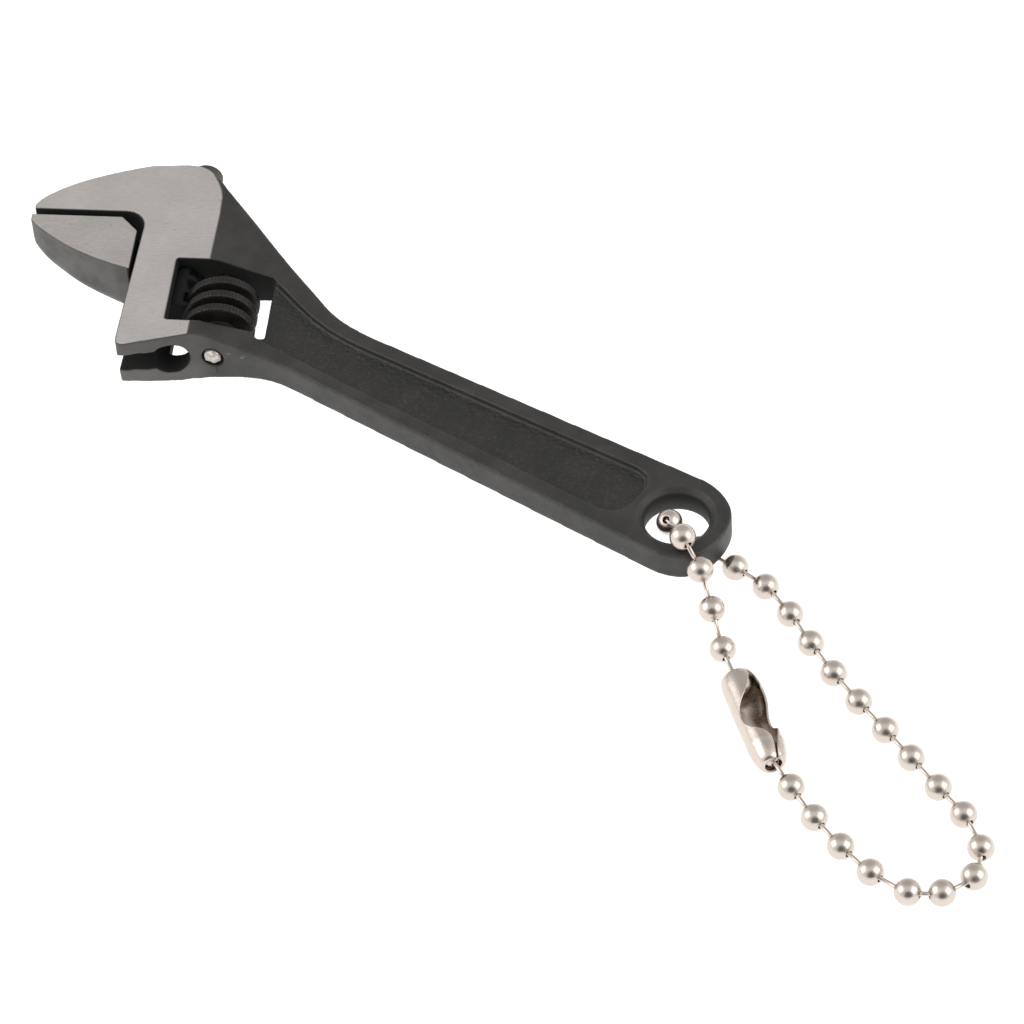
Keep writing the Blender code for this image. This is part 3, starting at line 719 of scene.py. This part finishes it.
def make_pin(material):
    """The worm's axle, with its near end peened into rough facets and pushed to one side."""
    steps = 56
    place = along_v(WORM_U)
    near, far = PIN_V
    rows = []
    for radius, depth in ((0.03, 0.0), (0.3, 0.0), (0.5, 0.0), (0.63, 0.02), (0.7, 0.07), (PIN_END_R, 0.16),
                          (PIN_END_R, 0.45), (PIN_R, 0.7)):
        row = []
        fade = 1.0 - min(depth / 0.45, 1.0)
        for k in range(steps):
            angle = 2 * math.pi * k / steps
            r = radius * (1.0 - 0.10 * fade * (0.5 + 0.5 * math.cos(6 * angle + 1.2 * math.sin(angle))))
            x, y = r * math.cos(angle), r * math.sin(angle)
            rough = 0.14 * fade * noise.noise(Vector((x, y, 0.4)) * 2.4)
            slope = 0.16 * fade * (0.8 * y - 0.4 * x)
            x += PIN_END_SHIFT[0] * (1.0 if depth < 0.6 else 0.0)
            y += PIN_END_SHIFT[1] * (1.0 if depth < 0.6 else 0.0)
            row.append(place @ (Vector((x, y, near + 0.12 + depth + rough + slope)) * MM))
        rows.append(row)
    for radius, v in ((PIN_R, far - 0.12), (PIN_R - 0.12, far), (0.02, far)):
        rows.append([place @ (Vector((radius * math.cos(2 * math.pi * k / steps),
                                      radius * math.sin(2 * math.pi * k / steps), v)) * MM)
                     for k in range(steps)])
    mesh = grid_mesh("pin_peened", rows, closed_columns=True)
    work = bmesh.new()
    work.from_mesh(mesh)
    bmesh.ops.holes_fill(work, edges=[e for e in work.edges if e.is_boundary], sides=steps)
    bmesh.ops.recalc_face_normals(work, faces=work.faces)
    work.to_mesh(mesh)
    work.free()
    return add_piece("pin_peened", mesh, material, "body", ["worm_pin"])


# ---------------------------------------------------------------- ball chain

def bead_profile():
    """A sheet bead's section: a sphere with a small rolled-in hole at each pole."""
    outer_edge = math.acos(BEAD_HOLE_R / BEAD_R) - 0.05
    outer = [(BEAD_R * math.cos(a), BEAD_R * math.sin(a)) for a in
             [outer_edge - 2 * outer_edge * i / 22 for i in range(23)]]
    inner_r = BEAD_R - BEAD_WALL
    inner_edge = math.acos((BEAD_HOLE_R + 0.04) / inner_r)
    inner = [(inner_r * math.cos(a), inner_r * math.sin(a)) for a in
             [-inner_edge + 2 * inner_edge * i / 8 for i in range(9)]]
    lip = [(BEAD_HOLE_R, -0.93), (BEAD_HOLE_R, -0.87)]
    return outer + lip + inner + [(r, -z) for r, z in reversed(lip)]


def link_profile(half):
    """A dumbbell link's section: a wire with an upset head at each end, on the axis."""
    head = 0.3
    side = [(LINK_R, half - 0.3), (head, half - 0.2), (head, half - 0.08), (head * 0.6, half), (0.01, half)]
    return [(0.01, -half)] + [(r, -z) for r, z in reversed(side[:-1])] + side


def chain_axes(centres):
    """Each bead's axis, halfway between its two links."""
    runs = [(b - a).normalized() for a, b in zip(centres, centres[1:])]
    axes = [runs[0]]
    for before, after in zip(runs, runs[1:]):
        axes.append((before + after).normalized())
    return axes + [runs[-1]]


def align_z(position, direction, spin=0.0):
    turn = direction.to_track_quat("Z", "Y").to_matrix().to_4x4()
    return Matrix.Translation(position) @ turn @ Matrix.Rotation(spin, 4, "Z")


def make_chain(material):
    centres = [handle_point(*p) for p in ROUTE]
    axes = chain_axes(centres)
    work = bmesh.new()
    profile = bead_profile()
    for i, (centre, axis) in enumerate(zip(centres, axes)):
        turned(work, profile, 36, align_z(centre, axis, 0.7 * i))
    for i in range(len(centres) - 1):
        start = centres[i] + axes[i] * LINK_END * MM
        end = centres[i + 1] - axes[i + 1] * LINK_END * MM
        half = (end - start).length / 2 / MM
        turned(work, link_profile(half), 14, align_z((start + end) / 2, (end - start).normalized()))
    replaced = [f"bead_{i + 1:02d}" for i in range(len(centres))]
    replaced += [f"link_{i + 1:02d}" for i in range(len(centres) - 1)]
    return add_piece("ball_chain", to_mesh("ball_chain", work), material, "chain", replaced)


# ---------------------------------------------------------------- clasp

TABLE_EASE = np.linspace(-0.22, 0.22, 9)


def table(stops, t):
    """A value read off a short list of (place, value) stops, with its corners eased."""
    places, values = zip(*stops)
    return float(np.mean(np.interp(t + TABLE_EASE, places, values)))


# Along the clasp from the end by the hang hole, in millimetres: its sheet's two edges, and the crease
# beyond which the sheet is pressed flatter, as angles in degrees from straight up, positive away from
# the handle's near side; then how far the tube leans sideways, and how far its far wall bulges.
CLASP_LEFT = [(0.0, 32.0), (0.5, 31.0), (1.1, 25.0), (1.8, 12.0), (2.5, -7.0), (2.9, -22.0), (3.4, -39.0),
              (3.9, -49.0), (4.4, -53.0), (4.9, -50.0), (5.3, -43.0), (5.65, -33.0), (6.0, -18.0),
              (6.35, 2.0), (6.7, 15.0), (7.1, 25.0), (7.5, 26.0), (8.1, 20.0), (9.0, 18.0)]
CLASP_RIGHT = [(0.0, 36.0), (0.4, 42.0), (0.8, 72.0), (1.3, 95.0), (2.4, 104.0), (3.6, 114.0), (4.4, 118.0),
               (4.9, 117.0), (5.25, 104.0), (5.6, 80.0), (6.2, 58.0), (6.8, 43.0), (7.5, 33.0), (8.1, 27.0),
               (9.0, 27.0)]
CLASP_CREASE = [(5.9, -20.0), (7.2, -19.0), (8.2, -13.0), (9.0, -12.0)]
CLASP_SIDEWAYS = [(0.0, 0.0), (0.8, 0.05), (2.2, 0.05), (4.0, 0.0), (6.0, 0.03), (7.0, 0.04), (9.0, 0.0)]
CLASP_BULGE = [(0.4, 0.0), (1.2, 0.14), (2.0, 0.24), (2.8, 0.24), (3.6, 0.08), (4.2, 0.0)]


def clasp_profile(length):
    """The sheet's outer line from end to end, as (place along, radius): the far end curls in."""
    start = [(0.0, 1.08), (0.08, 1.15), (0.2, 1.23), (0.4, 1.31), (0.7, 1.37), (1.1, 1.40)]
    middle = [(1.1 + (length - 2.8) * i / 120, CLASP_R + 0.01 * math.cos(i / 20)) for i in range(1, 120)]
    end = [(1.7, 1.38), (1.3, 1.34), (0.95, 1.28), (0.65, 1.20), (0.4, 1.11), (0.2, 1.02), (0.08, 0.92),
           (0.02, 0.8), (0.0, 0.66)]
    return start + middle + [(length - back, radius) for back, radius in end]


def clasp_section(t, radius):
    """Points round the sheet at t, from the left edge round below to the right edge."""
    left = table(CLASP_LEFT, t)
    right = table(CLASP_RIGHT, t)
    crease = table(CLASP_CREASE, t)
    side = table(CLASP_SIDEWAYS, t)
    bulge = table(CLASP_BULGE, t)
    pressed = min(max((t - 5.9) / 0.8, 0.0), 1.0)
    steps = 84
    section = []
    for i in range(steps + 1):
        angle = left - (left + 360.0 - right) * i / steps
        beyond = min(max((angle - crease) / 45.0, 0.0), 1.0) * pressed if i < steps / 2 else 0.0
        a = math.radians(angle)
        r = radius * (1.0 - 0.16 * beyond) + bulge * max(math.sin(a), 0.0) ** 2
        section.append((side * min(radius / CLASP_R, 1.0) + r * math.sin(a), r * math.cos(a)))
    return section


def make_clasp(outside, shaded_lining):
    """A rolled sheet that holds the chain's two end beads, open along its upper side."""
    first, last = handle_point(*ROUTE[-1]), handle_point(*ROUTE[0])
    along = (last - first).normalized()
    across = Vector((0.0, 0.0, 1.0)).cross(along)
    tilt = Matrix((along, across, Vector((0.0, 0.0, 1.0)))).transposed().to_4x4()
    place = Matrix.Translation(first) @ tilt
    profile = clasp_profile((last - first).length / MM + sum(CLASP_PAST))
    loops = []
    for i, (t, radius) in enumerate(profile):
        before, after = profile[max(i - 1, 0)], profile[min(i + 1, len(profile) - 1)]
        inward = Vector((after[1] - before[1], before[0] - after[0])).normalized() * CLASP_WALL
        outer = [(t, *p) for p in clasp_section(t, radius)]
        deeper = clasp_section(t, radius + inward.y)
        inner = [(t + inward.x, *p) for p in deeper]
        loops.append([place @ (Vector((t - CLASP_PAST[0], y, z)) * MM) for t, y, z in outer + inner[::-1]])
    count = len(loops[0]) // 2
    mesh = grid_mesh("clasp_rolled", loops, closed_columns=True)
    work = bmesh.new()
    work.from_mesh(mesh)
    work.verts.ensure_lookup_table()
    width = 2 * count
    for base in (0, (len(loops) - 1) * width):
        for k in range(count - 1):
            ends = [base + k, base + k + 1, base + width - 2 - k, base + width - 1 - k]
            work.faces.new([work.verts[e] for e in ends])
    bmesh.ops.recalc_face_normals(work, faces=work.faces)
    for face in work.faces:
        # Inner faces take the dark copy of the nickel, which is painted shade.
        face.material_index = 1 if all(v.index % width >= count for v in face.verts) else 0
    work.to_mesh(mesh)
    work.free()
    return add_piece("clasp_rolled", mesh, [outside, shaded_lining], "chain", ["clasp"])


# ---------------------------------------------------------------- floor and light

FLOOR_GLOW = 1.15
FLOOR_WHITE = 0.2


def make_floor():
    mesh = bpy.data.meshes.new("floor")
    work = bmesh.new()
    bmesh.ops.create_grid(work, x_segments=1, y_segments=1, size=1.5)
    work.to_mesh(mesh)
    work.free()
    floor = bpy.data.objects.new("floor", mesh)
    bpy.context.scene.collection.objects.link(floor)
    material = bpy.data.materials.new("floor_white")
    material.use_nodes = True
    shader = material.node_tree.nodes["Principled BSDF"]
    shader.inputs["Base Color"].default_value = (FLOOR_WHITE, FLOOR_WHITE, FLOOR_WHITE * 0.99, 1.0)
    shader.inputs["Roughness"].default_value = 0.9
    shader.inputs["Specular IOR Level"].default_value = 0.1
    shader.inputs["Emission Color"].default_value = (1.0, 0.995, 0.985, 1.0)
    shader.inputs["Emission Strength"].default_value = FLOOR_GLOW
    mesh.materials.append(material)


BEYOND = Vector((-0.609, 0.793, 0.0))       # level, away from the camera
OVER_BACK = BEYOND + Vector((0.0, 0.0, 1.1))
DIM_SPOT = Vector((0.58, -0.76, 0.42))      # the unlit wall behind the photographer


def make_world():
    """A pale room: greyer above the far side, with a dark patch behind the photographer."""
    world = bpy.data.worlds.new("room")
    world.use_nodes = True
    tree = world.node_tree
    back = tree.nodes["Background"]
    where = tree.nodes.new("ShaderNodeTexCoord").outputs["Generated"]

    def toward(direction, low, high, value_low, value_high):
        """A value that eases with how nearly the room's wall lies in a direction."""
        facing = tree.nodes.new("ShaderNodeVectorMath")
        facing.operation = "DOT_PRODUCT"
        facing.inputs[1].default_value = direction.normalized()
        tree.links.new(where, facing.inputs[0])
        ease = tree.nodes.new("ShaderNodeMapRange")
        ease.interpolation_type = "SMOOTHSTEP"
        for name, value in (("From Min", low), ("From Max", high), ("To Min", value_low),
                            ("To Max", value_high)):
            ease.inputs[name].default_value = value
        tree.links.new(facing.outputs["Value"], ease.inputs["Value"])
        return ease.outputs["Result"]

    def times(a, b):
        node = tree.nodes.new("ShaderNodeMath")
        node.operation = "MULTIPLY"
        tree.links.new(a, node.inputs[0])
        tree.links.new(b, node.inputs[1])
        return node.outputs[0]

    above = toward(OVER_BACK, 0.68, 0.93, 0.92, 0.58)
    spot = toward(DIM_SPOT, 0.72, 0.95, 1.0, 0.12)
    back.inputs["Color"].default_value = (1.0, 0.985, 0.965, 1.0)
    tree.links.new(times(above, spot), back.inputs["Strength"])
    bpy.context.scene.world = world


def make_light(name, position, size, watts):
    data = bpy.data.lights.new(name, "AREA")
    data.shape = "RECTANGLE"
    data.size, data.size_y = size
    data.energy = watts
    light = bpy.data.objects.new(name, data)
    bpy.context.scene.collection.objects.link(light)
    centre = Vector((0.01, -0.005, 0.0))
    look_from(light, Vector(position), centre, 0.0)


def make_stage():
    make_floor()
    make_world()
    make_light("softbox_left", (-0.32, -0.25, 0.27), (0.42, 0.36), 0.75)
    make_light("softbox_right", (0.40, 0.12, 0.27), (0.38, 0.36), 0.68)
    bpy.context.scene.view_settings.view_transform = "Standard"


# ---------------------------------------------------------------- the whole object

def main():
    make_camera()
    nickel = nickel_material("nickel_satin", (0.63, 0.563, 0.508), (0.53, 0.467, 0.413), 0.23, 0.33)
    # Painted shade: a dark brown copy of the nickel for the sheet's inner faces.
    shaded_lining = nickel_material("nickel_inside_painted_shade", (0.105, 0.08, 0.058), (0.07, 0.053, 0.038), 0.36, 0.46)
    chain = make_chain(nickel)
    clasp = make_clasp(nickel, shaded_lining)
    make_body(body_material())
    make_jaw(jaw_material())
    make_worm(worm_material())
    make_pin(pin_material())
    make_stage()


main()
